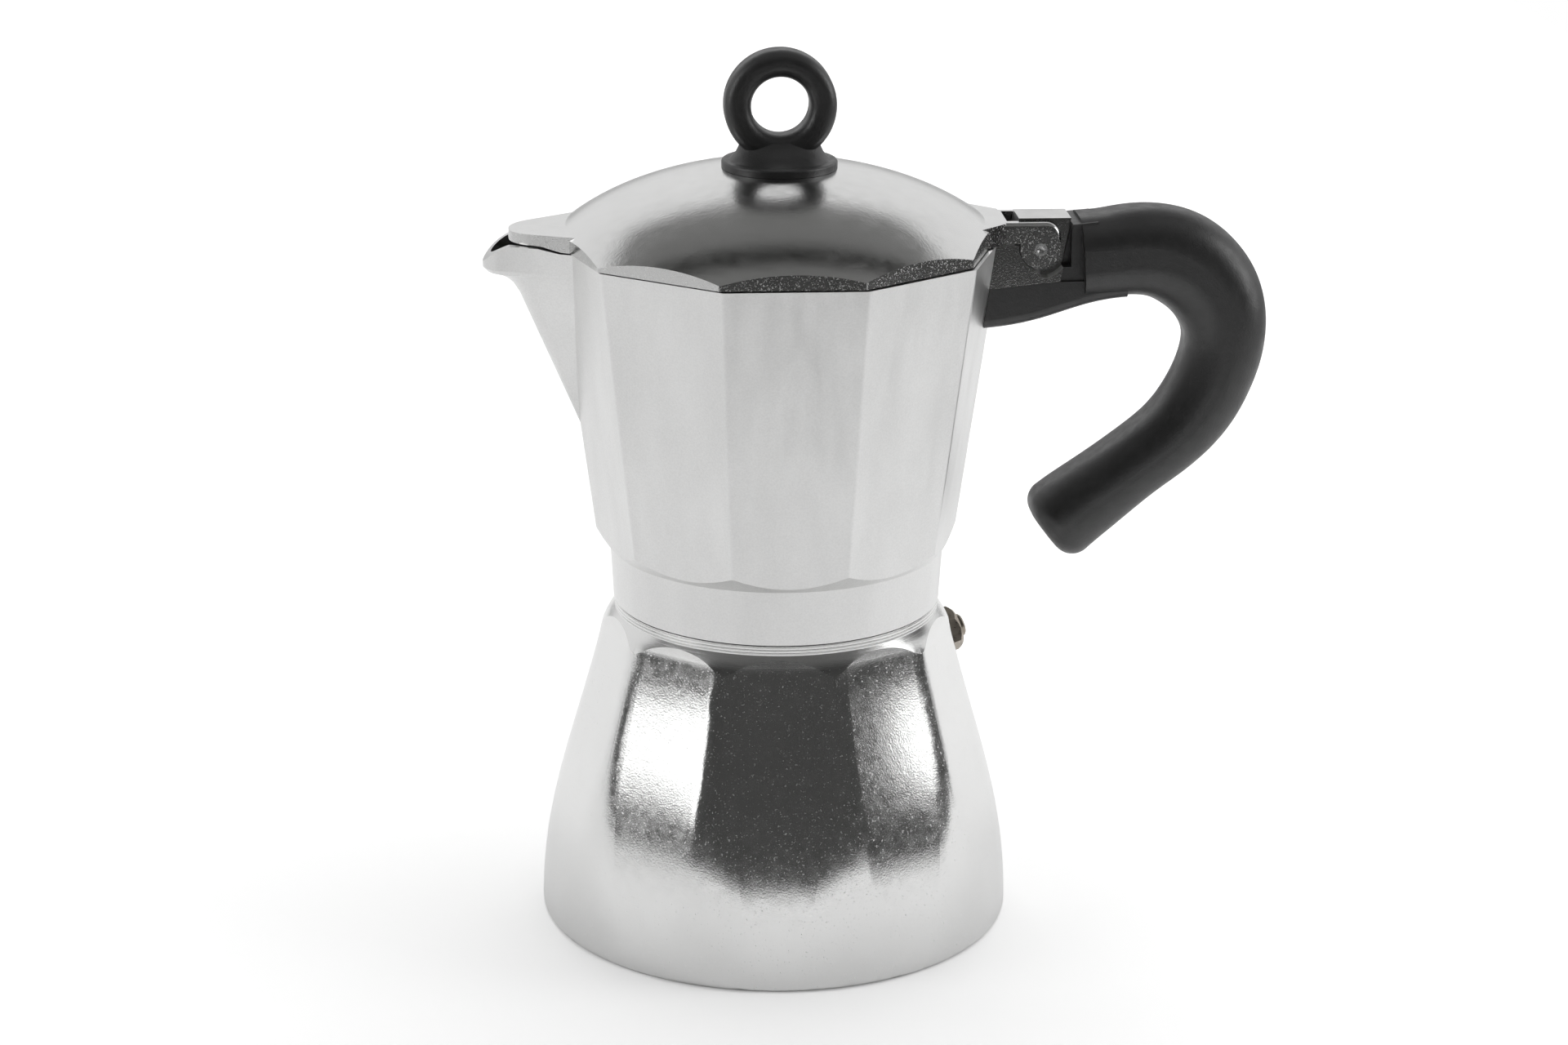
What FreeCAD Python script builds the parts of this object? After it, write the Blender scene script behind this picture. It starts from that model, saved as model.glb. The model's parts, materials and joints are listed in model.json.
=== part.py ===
import FreeCAD, Part
import math
import os

# Moka pot: boiler, funnel, screw-on collector with spout, hinged lid and bent handle.
# Millimetres, +Z up, origin at the centre of the flat base, handle along +X, spout along -X.

os.makedirs("parts", exist_ok=True)
V = FreeCAD.Vector
UP = V(0, 0, 1)
SIDES = 10
HALF_SIDE = math.pi / SIDES

# Clearances
RUN_FIT = 0.05
SLIP_FIT = 0.3
SEAT_GAP = 0.1

# Boiler casting
BASE_RADIUS = 52.7
BELL_HEIGHT = 90.0
BELL_LAG = 1.04
BASE_EDGE = 1.6
BOILER_TWIST = math.radians(-3.5)
SOFT_BASE = 0.92
SOFT_TOP = 0.26
BOILER_WALL = 3.0
BOILER_FLOOR = 4.0
SHOULDER_START_Z = 65.2
NECK_BASE_Z = 71.4
GROOVE_COUNT = 3
GROOVE_DEPTH = 0.3

# Screw neck, collar and the stack between boiler and collector
COLLAR_BOTTOM_Z = 73.8
COLLAR_TOP_Z = 86.0
COLLAR_BOTTOM_RADIUS = 36.2
COLLAR_FLARE = 0.7
COLLAR_TOP_RADIUS = COLLAR_BOTTOM_RADIUS + COLLAR_FLARE
BELL_FALL = BASE_RADIUS - COLLAR_BOTTOM_RADIUS + 0.1
COLLAR_WALL = 1.6
THREAD_DEPTH = 0.9
THREAD_PITCH = 3.0
THREAD_TURNS = 2.25
NECK_WALL = 3.3
FLANGE_THICK = 1.0
GASKET_THICK = 3.6
PLATE_THICK = 0.7
FLOOR_THICK = 3.0

# Collector casting
RIM_RADIUS = 48.7
RIM_Z = 154.0
FOOT_FLARE = 3.1
FOOT_RADIUS = COLLAR_TOP_RADIUS + FOOT_FLARE
FOOT_Z = 89.5
FACET_SOFT = 0.03
COLLECTOR_WALL = 2.6
CHAMBER_HEIGHT = 2.0
COLUMN_TOP_Z = 138.0
COLUMN_RADIUS = 5.6
COLUMN_FOOT_RADIUS = 7.4
COLUMN_BORE = 3.2
OUTLET_RADIUS = 2.3

# Spout
SPOUT_FOOT_X = 5.5 - RIM_RADIUS
SPOUT_FOOT_Z = 113.5
SPOUT_SLOPE = 0.43
SPOUT_ROOT_X = 3.7 - RIM_RADIUS
SPOUT_HALF_WIDTH = 12.0
SPOUT_NOSE = 6.8
SPOUT_RISE = 0.8
SPOUT_WALL = 1.8
LIP_X = -15.2 - RIM_RADIUS
LIP_Z = 148.2
LIP_CURL_Z = 143.3
LIP_EDGE = 0.9
LIP_BACK_X = -9.5 - RIM_RADIUS
LIP_MID_X = -12.7 - RIM_RADIUS
LIP_MID_Z = 152.9
LIP_TOP_Z = 150.3

# Hinge and bracket
PIN_X = RIM_RADIUS + 7.4
PIN_Z = 152.95
PIN_RADIUS = 1.45
LUG_RADIUS = 4.45
LUG_RISE = 0.4
EAR_TOP_Z = 158.8
EAR_CORNER = 3.2
EAR_EDGE = 1.2
EAR_PLATE = 2.2
ARM_FLARE_X = RIM_RADIUS - 0.3
ARM_FLARE = 0.95
HINGE_HALF_WIDTH = 7.4
BLOCK_HALF_WIDTH = 4.5
BLOCK_TOP_Z = 159.3
BLOCK_START_X = RIM_RADIUS + 2.9
BRACKET_TOP_END_X = RIM_RADIUS + 14.3
BRACKET_LOW_END_X = RIM_RADIUS + 11.9
BRACKET_LOW_WALL_Z = 144.0
BRACKET_LOW_END_Z = 145.9
SLOT_START_X = RIM_RADIUS + 0.2

# Lid
LID_GAP = 0.3
LID_SHIFT = -0.7
DOME_SHIFT = -0.1
LID_RADIUS = RIM_RADIUS - 0.2
DOME_HALF_WIDTH = LID_RADIUS + 9.1
DOME_HEIGHT = 33.1
DOME_CENTRE_Z = 137.8
LID_WALL = 1.8
TONGUE_TIP_X = -9.6 - RIM_RADIUS
TONGUE_TIP_RADIUS = 8.0
TONGUE_TOP_Z = 157.3
TONGUE_RISE = 0.7

# Knob
FLANGE_RADIUS = 12.5
FLANGE_WALL = 2.0
KNOB_SINK = 1.0
RING_RISE = 13.8
RING_RADIUS = 9.2
RING_HALF_THICK = 2.9
RING_HALF_DEPTH = 4.3
RING_ROUND = 2.5
KNOB_NECK_HALF = 9.0
KNOB_NECK_RISE = 6.1
SCREW_RADIUS = 2.0
SCREW_HEAD_RADIUS = 3.8
SCREW_HEAD_THICK = 2.0

# Handle
GRIP_START_X = RIM_RADIUS + 16.9
GRIP_START_Z = 150.4
GRIP_RISE = math.radians(4.0)
TOP_STRAIGHT = 12.2
TOP_BEND_RADIUS = 19.2
TOP_BEND_ANGLE = math.radians(105.0)
LOW_BEND_RADIUS = 36.3
LOW_BEND_ANGLE = math.radians(41.0)
GRIP_STRAIGHT = 31.5
GRIP_HALF_WIDTH = 9.6
GRIP_ROUND_ROOT = 0.72
GRIP_ROUND_ARM = 0.9
GRIP_HALF_ROOT = 8.8
GRIP_HALF_BEND = 10.4
GRIP_HALF_SIDE = 8.5
GRIP_HALF_ARM = 7.3
GRIP_HALF_END = 8.7
GRIP_END_ROUND = 4.5
GRIP_SECTIONS = 16
TONGUE_HALF_WIDTH = 6.7
TONGUE_TOP_DROP = 1.0
JAW_HALF_WIDTH = 7.2
JAW_LOW_Z = 135.1
JAW_BLEND = 10.0
JAW_ROUND = 2.2
JAW_WALL_X = RIM_RADIUS - 3.9
HANDLE_SCREW_X = RIM_RADIUS + 3.3

# Funnel
BASKET_GAP = 0.5
BASKET_DEPTH = 22.0
SHEET = 1.0
CONE_DROP = 6.0
TUBE_RADIUS = 5.5
TUBE_END_GAP = 9.0
HOLE_RADIUS = 0.9
HOLE_SPACING = 4.4
HOLE_RINGS = 5

# Safety valve
VALVE_ANGLE = math.radians(14.5)
VALVE_Z = 59.5
HEX_FLATS = 9.0
HEX_LENGTH = 5.0
SHANK_RADIUS = 3.5
SHANK_LENGTH = 5.5
VALVE_BORE = 2.3
BOSS_RADIUS = 2.6
BOSS_LENGTH = 1.4
CAP_DEPTH = 1.5
STEM_RADIUS = 0.8
POPPET_RADIUS = 1.9
POPPET_THICK = 1.2
PORT_RADIUS = 1.2
SPRING_RADIUS = 1.5
SPRING_WIRE = 0.42
SPRING_TURNS = 4


def export(shape, name):
    shape.exportStep("parts/" + name + ".step")


def revolve(points):
    face = Part.Face(Part.makePolygon(points + points[:1]))
    return face.revolve(V(0, 0, 0), UP, 360)


def ring(outer, inner, bottom, top):
    body = Part.makeCylinder(outer, top - bottom, V(0, 0, bottom))
    return body.cut(Part.makeCylinder(inner, top - bottom, V(0, 0, bottom)))


def soft_apothem(outer, soft):
    return outer / ((1 - soft) / math.cos(HALF_SIDE) + soft)


def soft_decagon(outer, soft, z, turn=0.0):
    apothem = soft_apothem(outer, soft)
    corner = soft * apothem
    centre_radius = (apothem - corner) / math.cos(HALF_SIDE)
    arcs = []
    for k in range(SIDES):
        angle = turn + 2 * HALF_SIDE * k
        centre = V(centre_radius * math.cos(angle), centre_radius * math.sin(angle), z)
        arc_angles = (angle - HALF_SIDE, angle, angle + HALF_SIDE)
        arcs.append([centre + V(corner * math.cos(a), corner * math.sin(a), 0) for a in arc_angles])
    edges = []
    for k in range(SIDES):
        edges.append(Part.Arc(*arcs[k]).toShape())
        edges.append(Part.makeLine(arcs[k][2], arcs[(k + 1) % SIDES][0]))
    return Part.Wire(edges)


def xz_prism(points, half_width):
    face = Part.Face(Part.makePolygon([V(x, -half_width, z) for x, z in points + points[:1]]))
    return face.extrude(V(0, 2 * half_width, 0))


def box(x0, x1, half_width, z0, z1):
    return Part.makeBox(x1 - x0, 2 * half_width, z1 - z0, V(x0, -half_width, z0))


def cross_rod(radius, half_width, x, z):
    return Part.makeCylinder(radius, 2 * half_width, V(x, -half_width, z), V(0, 1, 0))


def half_ellipsoid(half_width, height, centre_z, centre_x=0.0):
    centre = V(0, 0, centre_z)
    side = V(half_width, 0, centre_z)
    top = V(0, 0, centre_z + height)
    arc = Part.ArcOfEllipse(Part.Ellipse(side, top, centre), 0, math.pi / 2).toShape()
    outline = Part.Wire([arc] + Part.makePolygon([top, centre, side]).Edges)
    body = Part.Face(outline).revolve(V(0, 0, 0), UP, 360)
    body.translate(V(centre_x, 0, 0))
    return body


def beak(nose_x, nose, root_x, root_half, back_x, z):
    centre_x = nose_x + nose
    reach = math.hypot(root_x - centre_x, root_half)
    turn = math.atan2(root_half, root_x - centre_x) + math.acos(nose / reach)
    touch = V(centre_x + nose * math.cos(turn), nose * math.sin(turn), z)
    slope = (root_half - touch.y) / (root_x - touch.x)
    back_half = root_half + slope * (back_x - root_x)
    mirror = V(touch.x, -touch.y, z)
    arc = Part.Arc(touch, V(nose_x, 0, z), mirror).toShape()
    back = Part.makePolygon([mirror, V(back_x, -back_half, z), V(back_x, back_half, z), touch])
    return Part.Wire([arc] + back.Edges)


# The vertical stack, worked out from the collar upwards
NECK_TOP_Z = COLLAR_TOP_Z - 2.1
FLANGE_TOP_Z = NECK_TOP_Z + FLANGE_THICK
GASKET_TOP_Z = FLANGE_TOP_Z + GASKET_THICK
PLATE_TOP_Z = GASKET_TOP_Z + PLATE_THICK
CHAMBER_TOP_Z = PLATE_TOP_Z + CHAMBER_HEIGHT
CUP_FLOOR_Z = CHAMBER_TOP_Z + FLOOR_THICK
COLLAR_BORE = COLLAR_BOTTOM_RADIUS - COLLAR_WALL
COLLAR_CREST = COLLAR_BORE - THREAD_DEPTH
NECK_CREST = COLLAR_CREST - SLIP_FIT
NECK_RADIUS = NECK_CREST - THREAD_DEPTH
MOUTH_RADIUS = NECK_RADIUS - NECK_WALL
BASKET_RADIUS = MOUTH_RADIUS - BASKET_GAP
SEAT_RADIUS = NECK_RADIUS
GASKET_RADIUS = SEAT_RADIUS - SLIP_FIT
GASKET_HOLE = GASKET_RADIUS - 5.5
PLATE_RADIUS = GASKET_RADIUS - 1.2
NECK_GAP = SLIP_FIT
TAPER = (RIM_RADIUS - FOOT_RADIUS) / (RIM_Z - FOOT_Z)
LID_BOTTOM_Z = RIM_Z + LID_GAP
KNOB_BOTTOM_Z = DOME_CENTRE_Z + DOME_HEIGHT - KNOB_SINK
KNOB_NECK_Z = KNOB_BOTTOM_Z + KNOB_NECK_RISE
RING_CENTRE_Z = KNOB_BOTTOM_Z + RING_RISE

# The hinge, worked out from its pin
LUG_CENTRE_Z = PIN_Z + LUG_RISE
EAR_END_X = PIN_X + LUG_RADIUS
EAR_REACH = math.hypot(LUG_RADIUS - EAR_CORNER, EAR_TOP_Z - EAR_CORNER - PIN_Z) + EAR_CORNER
EAR_SWING_X = PIN_X + EAR_TOP_Z - PIN_Z + 1.0


def bell_radius(z):
    phase = math.pi * (z / BELL_HEIGHT) ** BELL_LAG
    return BASE_RADIUS - BELL_FALL * (1 - math.cos(phase)) / 2


def bell_soft(z):
    fade = 1 - z / COLLAR_BOTTOM_Z
    return SOFT_TOP + (SOFT_BASE - SOFT_TOP) * fade ** 3


def bell_flat(z):
    return soft_apothem(bell_radius(z), bell_soft(z))


def helical_ridge(root_radius, depth, start_z, overlap):
    outward = 1 if depth > 0 else -1
    height = THREAD_PITCH * THREAD_TURNS
    helix = Part.makeHelix(THREAD_PITCH, height, root_radius)
    half_root = 0.32 * THREAD_PITCH
    half_crest = 0.1 * THREAD_PITCH
    inner = root_radius - outward * overlap
    crest = root_radius + depth
    corners = [V(inner, 0, -half_root), V(crest, 0, -half_crest), V(crest, 0, half_crest),
               V(inner, 0, half_root)]
    profile = Part.makePolygon(corners + corners[:1])
    ridge = Part.Wire(helix.Edges).makePipeShell([profile], True, True)
    ridge.translate(V(0, 0, start_z))
    return ridge


def turned_envelope():
    wide = BASE_RADIUS + 1
    neck_foot = COLLAR_BOTTOM_RADIUS - 0.2
    ledge_z = COLLAR_BOTTOM_Z - NECK_GAP
    low = V(bell_radius(SHOULDER_START_Z) + 0.3, 0, SHOULDER_START_Z)
    high = V(neck_foot, 0, NECK_BASE_Z)
    middle = (low + high) * 0.5 + V(0.35, 0, 0.2)
    outline = [Part.makeLine(V(0, 0, 0), V(BASE_RADIUS - BASE_EDGE, 0, 0))]
    edge_mid = V(BASE_RADIUS - BASE_EDGE * (1 - math.sin(math.pi / 4)), 0,
                 BASE_EDGE * (1 - math.cos(math.pi / 4)))
    outline.append(Part.Arc(outline[0].Vertexes[1].Point, edge_mid, V(BASE_RADIUS, 0, BASE_EDGE)).toShape())
    straight = [V(BASE_RADIUS, 0, BASE_EDGE), V(wide, 0, 2 * BASE_EDGE), V(wide, 0, SHOULDER_START_Z), low]
    outline += Part.makePolygon(straight).Edges
    outline.append(Part.Arc(low, middle, high).toShape())
    pitch = (ledge_z - NECK_BASE_Z) / GROOVE_COUNT
    grooves = [high]
    for k in range(GROOVE_COUNT):
        start = NECK_BASE_Z + k * pitch
        grooves.append(V(neck_foot, 0, start + 0.3 * pitch))
        grooves.append(V(neck_foot - GROOVE_DEPTH, 0, start + 0.6 * pitch))
        grooves.append(V(neck_foot, 0, start + 0.9 * pitch))
    top = [V(neck_foot, 0, ledge_z), V(NECK_RADIUS, 0, ledge_z), V(NECK_RADIUS, 0, NECK_TOP_Z),
           V(0, 0, NECK_TOP_Z)]
    outline += Part.makePolygon(grooves + top + [V(0, 0, 0)]).Edges
    return Part.Face(Part.Wire(outline)).revolve(V(0, 0, 0), UP, 360)


def boiler_cavity():
    low_z = BOILER_FLOOR + 8
    high_z = SHOULDER_START_Z - 7
    levels = [low_z + (high_z - low_z) * k / 4 for k in range(5)]
    wall_points = [V(bell_flat(z) - BOILER_WALL, 0, z) for z in levels]
    wall = Part.BSplineCurve()
    wall.interpolate(wall_points)
    corner = V(wall_points[0].x - 7, 0, BOILER_FLOOR)
    bend = V(wall_points[0].x - 1.8, 0, BOILER_FLOOR + 2.3)
    mouth_z = SHOULDER_START_Z + 2
    outline = [Part.makeLine(V(0, 0, BOILER_FLOOR), corner)]
    outline.append(Part.Arc(corner, bend, wall_points[0]).toShape())
    outline.append(wall.toShape())
    top = [wall_points[-1], V(MOUTH_RADIUS, 0, mouth_z), V(MOUTH_RADIUS, 0, NECK_TOP_Z + 1),
           V(0, 0, NECK_TOP_Z + 1)]
    outline += Part.makePolygon(top + [V(0, 0, BOILER_FLOOR)]).Edges
    return Part.Face(Part.Wire(outline)).revolve(V(0, 0, 0), UP, 360)


def boiler():
    levels = [COLLAR_BOTTOM_Z * k / 5 for k in range(6)]
    sections = [soft_decagon(bell_radius(z), bell_soft(z), z, BOILER_TWIST) for z in levels]
    bell = Part.makeLoft(sections, True, False)
    neck = Part.makeCylinder(NECK_RADIUS, NECK_TOP_Z - NECK_BASE_Z, V(0, 0, NECK_BASE_Z))
    body = bell.common(turned_envelope()).fuse(neck)
    ridge_start = COLLAR_BOTTOM_Z + 0.6 * THREAD_PITCH
    body = body.fuse(helical_ridge(NECK_RADIUS, THREAD_DEPTH, ridge_start, 0.4))
    body = body.cut(boiler_cavity())
    hole = valve_placed(Part.makeCylinder(SHANK_RADIUS + RUN_FIT, 14, V(0, 0, -10)))
    spot_face = valve_placed(Part.makeCylinder(0.62 * HEX_FLATS + 0.4, 6, V(0, 0, 0)))
    return body.cut(hole).cut(spot_face).removeSplitter()


def valve_placed(shape):
    slope = (bell_flat(VALVE_Z - 1) - bell_flat(VALVE_Z + 1)) / 2
    tilt = math.atan(slope)
    outward = V(math.cos(VALVE_ANGLE) * math.cos(tilt), math.sin(VALVE_ANGLE) * math.cos(tilt),
                math.sin(tilt))
    flat = bell_flat(VALVE_Z)
    seat = V(flat * math.cos(VALVE_ANGLE), flat * math.sin(VALVE_ANGLE), VALVE_Z) - outward * 0.4
    placed = shape.copy()
    placed.Placement = FreeCAD.Placement(seat, FreeCAD.Rotation(UP, outward))
    return placed


def valve_body():
    corner = HEX_FLATS / math.sqrt(3)
    corners = [V(corner * math.cos(k * math.pi / 3), corner * math.sin(k * math.pi / 3), 0) for k in range(7)]
    hexagon = Part.Face(Part.makePolygon(corners)).extrude(V(0, 0, HEX_LENGTH))
    chamfer = Part.makeCone(corner + HEX_LENGTH, 0.46 * HEX_FLATS, HEX_LENGTH + corner - 0.46 * HEX_FLATS)
    chamfer.translate(V(0, 0, -(corner - 0.46 * HEX_FLATS)))
    body = hexagon.common(chamfer)
    body = body.fuse(Part.makeCylinder(SHANK_RADIUS, SHANK_LENGTH, V(0, 0, -SHANK_LENGTH)))
    bore_start = -SHANK_LENGTH + 1.5
    body = body.cut(Part.makeCylinder(VALVE_BORE, 20, V(0, 0, bore_start)))
    body = body.cut(Part.makeCylinder(PORT_RADIUS, 20, V(0, 0, -SHANK_LENGTH - 1)))
    return body.cut(Part.makeCylinder(BOSS_RADIUS, 20, V(0, 0, HEX_LENGTH - CAP_DEPTH))).removeSplitter()


def valve_cap():
    body = ring(BOSS_RADIUS - 0.02, STEM_RADIUS + RUN_FIT, HEX_LENGTH - CAP_DEPTH, HEX_LENGTH + BOSS_LENGTH)
    edge = [e for e in body.Edges if abs(e.BoundBox.ZMin - HEX_LENGTH - BOSS_LENGTH) < 0.01 and e.Length > 8]
    return body.makeChamfer(0.35, edge)


def valve_pin():
    foot = -SHANK_LENGTH + 1.5
    top = HEX_LENGTH + BOSS_LENGTH + 0.3
    body = Part.makeCylinder(POPPET_RADIUS, POPPET_THICK, V(0, 0, foot))
    return body.fuse(Part.makeCylinder(STEM_RADIUS, top - foot, V(0, 0, foot))).removeSplitter()


def valve_spring():
    start = -SHANK_LENGTH + 1.5 + POPPET_THICK + SPRING_WIRE / 2 + 0.05
    end = HEX_LENGTH - CAP_DEPTH - SPRING_WIRE / 2 - 0.05
    rise = (end - start) / SPRING_TURNS

    def point(turn):
        angle = 2 * math.pi * turn
        return V(SPRING_RADIUS * math.cos(angle), SPRING_RADIUS * math.sin(angle), start + rise * turn)

    arcs = []
    for k in range(4 * SPRING_TURNS):
        arcs.append(Part.Arc(point(k / 4), point(k / 4 + 0.125), point(k / 4 + 0.25)).toShape())
    heading = V(0, 2 * math.pi * SPRING_RADIUS, rise)
    section = Part.Wire(Part.Circle(point(0), heading, SPRING_WIRE / 2).toShape())
    print("valve spring least gap to itself, mm:", round(rise - SPRING_WIRE, 3))
    return Part.Wire(arcs).makePipeShell([section], True, False)


def funnel_basket():
    top = FLANGE_TOP_Z
    flange_radius = GASKET_RADIUS - 0.4
    floor = NECK_TOP_Z - BASKET_DEPTH
    collar = floor - CONE_DROP
    tube_seat = TUBE_RADIUS + 0.02
    outer = [V(flange_radius, 0, NECK_TOP_Z), V(BASKET_RADIUS, 0, NECK_TOP_Z), V(BASKET_RADIUS, 0, floor)]
    outer += [V(tube_seat + SHEET, 0, collar), V(tube_seat + SHEET, 0, collar - 5),
              V(tube_seat, 0, collar - 5)]
    step = V(BASKET_RADIUS - 3.4, 0, floor + SHEET)
    inner = [V(tube_seat, 0, collar + SHEET), step, V(BASKET_RADIUS - SHEET, 0, floor + SHEET)]
    inner += [V(BASKET_RADIUS - SHEET, 0, top), V(flange_radius, 0, top)]
    return revolve(outer + inner)


def funnel_tube():
    floor = NECK_TOP_Z - BASKET_DEPTH
    return ring(TUBE_RADIUS, TUBE_RADIUS - SHEET, BOILER_FLOOR + TUBE_END_GAP, floor - CONE_DROP + 0.6)


def hole_field(z, thick):
    holes = []
    for level in range(HOLE_RINGS + 1):
        for k in range(max(1, 6 * level)):
            angle = 2 * math.pi * k / max(1, 6 * level)
            spot = V(level * HOLE_SPACING * math.cos(angle), level * HOLE_SPACING * math.sin(angle), z - 1)
            holes.append(Part.makeCylinder(HOLE_RADIUS, thick + 2, spot))
    return Part.makeCompound(holes)


def funnel_filter():
    bottom = NECK_TOP_Z - BASKET_DEPTH + SHEET
    disc = Part.makeCylinder(BASKET_RADIUS - SHEET - 0.1, PLATE_THICK, V(0, 0, bottom))
    return disc.cut(hole_field(bottom, PLATE_THICK))


def gasket():
    return ring(GASKET_RADIUS, GASKET_HOLE, FLANGE_TOP_Z, GASKET_TOP_Z)


def filter_plate():
    disc = Part.makeCylinder(PLATE_RADIUS, PLATE_THICK, V(0, 0, GASKET_TOP_Z))
    return disc.cut(hole_field(GASKET_TOP_Z, PLATE_THICK))


def facet_radius(z):
    return FOOT_RADIUS + TAPER * (z - FOOT_Z)


def decagon_cup(inset, soft, bottom, top):
    shrink = inset / math.cos(HALF_SIDE)
    low = soft_decagon(facet_radius(bottom) - shrink, soft, bottom)
    high = soft_decagon(facet_radius(top) - shrink, soft, top)
    return Part.makeLoft([low, high], True, True)


def spout_nose_line(inset):
    foot = V(SPOUT_FOOT_X, 0, SPOUT_FOOT_Z)
    ridge = V(-SPOUT_SLOPE, 0, 1)
    start = foot + ridge * (LIP_CURL_Z - SPOUT_FOOT_Z)
    end = V(LIP_X + LIP_EDGE, 0, LIP_Z)
    drop = (start.x - end.x + SPOUT_SLOPE * (start.z - end.z)) / (1 - 0.1 * SPOUT_SLOPE)
    knee = end + V(drop, 0, -0.1 * drop)
    curl = Part.BezierCurve()
    curl.setPoles([start, knee, end])
    inward = ridge.cross(V(0, 1, 0)) * (-inset / ridge.Length)
    line = [foot + ridge * (4.5 * inset) + inward]
    for share in (0, 0.3, 0.55, 0.8, 1):
        along = curl.tangent(share)[0]
        line.append(curl.value(share) + along.cross(V(0, 1, 0)) * -inset)
    line.append(V(LIP_X + inset, 0, LIP_Z + LIP_EDGE + inset))
    line.append(V(LIP_X + inset, 0, RIM_Z + 4))
    return line


def spout_shape(inset):
    sections = []
    for point in spout_nose_line(inset):
        share = (point.z - SPOUT_FOOT_Z) / (RIM_Z - SPOUT_FOOT_Z)
        root_half = 0.5 + (SPOUT_HALF_WIDTH - 0.5) * share - 1.1 * inset
        nose = max(0.2, SPOUT_NOSE * share - inset)
        root_x = (SPOUT_FOOT_X + 1.5) * (1 - share) + SPOUT_ROOT_X * share
        sections.append(beak(point.x, nose, root_x, root_half, -0.7 * FOOT_RADIUS, point.z))
    return Part.makeLoft(sections, True, True)


def lip_trim():
    top_z = RIM_Z + SPOUT_RISE
    high = RIM_Z + 9
    rim = [V(0, -30, RIM_Z), V(SPOUT_ROOT_X - 2.5, -30, RIM_Z), V(SPOUT_ROOT_X - 7, -30, top_z),
           V(LIP_BACK_X, -30, top_z)]
    tip = V(LIP_X, -30, LIP_TOP_Z)
    fall = Part.Arc(rim[-1], V(LIP_MID_X, -30, LIP_MID_Z), tip).toShape()
    back = [tip, V(LIP_X - 2, -30, LIP_TOP_Z), V(LIP_X - 2, -30, high), V(0, -30, high), rim[0]]
    outline = Part.Wire(Part.makePolygon(rim).Edges + [fall] + Part.makePolygon(back).Edges)
    return Part.Face(outline).extrude(V(0, 60, 0))


def bracket_end_x(z):
    rise = (z - BRACKET_LOW_END_Z) / (BLOCK_TOP_Z - BRACKET_LOW_END_Z)
    return BRACKET_LOW_END_X + (BRACKET_TOP_END_X - BRACKET_LOW_END_X) * rise


def bracket():
    wall_x = 0.86 * RIM_RADIUS
    base = [(wall_x, BRACKET_LOW_WALL_Z), (BRACKET_LOW_END_X, BRACKET_LOW_END_Z)]
    body = xz_prism(base + [(bracket_end_x(RIM_Z), RIM_Z), (wall_x, RIM_Z)], HINGE_HALF_WIDTH)
    root_z = RIM_Z - 2
    block = [(BLOCK_START_X - 1.2, root_z), (bracket_end_x(root_z), root_z)]
    block += [(BRACKET_TOP_END_X, BLOCK_TOP_Z), (BLOCK_START_X, BLOCK_TOP_Z)]
    body = body.fuse(xz_prism(block, BLOCK_HALF_WIDTH))
    pocket = cross_rod(LUG_RADIUS + SLIP_FIT, HINGE_HALF_WIDTH + 1, PIN_X, LUG_CENTRE_Z)
    pocket = pocket.fuse(cross_rod(LUG_RADIUS + SLIP_FIT, HINGE_HALF_WIDTH + 1, PIN_X + LUG_RISE, PIN_Z))
    sweep = cross_rod(EAR_REACH + SLIP_FIT, HINGE_HALF_WIDTH + 1, PIN_X, PIN_Z)
    sweep = sweep.common(box(PIN_X, PIN_X + 9, HINGE_HALF_WIDTH + 1, PIN_Z - EAR_REACH, RIM_Z + 9))
    keep = box(wall_x, BRACKET_TOP_END_X + 1, BLOCK_HALF_WIDTH, 0, 2 * RIM_Z)
    return body.cut(pocket.fuse(sweep).cut(keep))


def column():
    outer = [V(0, 0, CHAMBER_TOP_Z), V(COLUMN_FOOT_RADIUS, 0, CHAMBER_TOP_Z),
             V(COLUMN_FOOT_RADIUS, 0, CUP_FLOOR_Z)]
    top = [V(COLUMN_RADIUS, 0, COLUMN_TOP_Z - 2), V(COLUMN_RADIUS - 2, 0, COLUMN_TOP_Z),
           V(0, 0, COLUMN_TOP_Z)]
    return revolve(outer + top)


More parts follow.
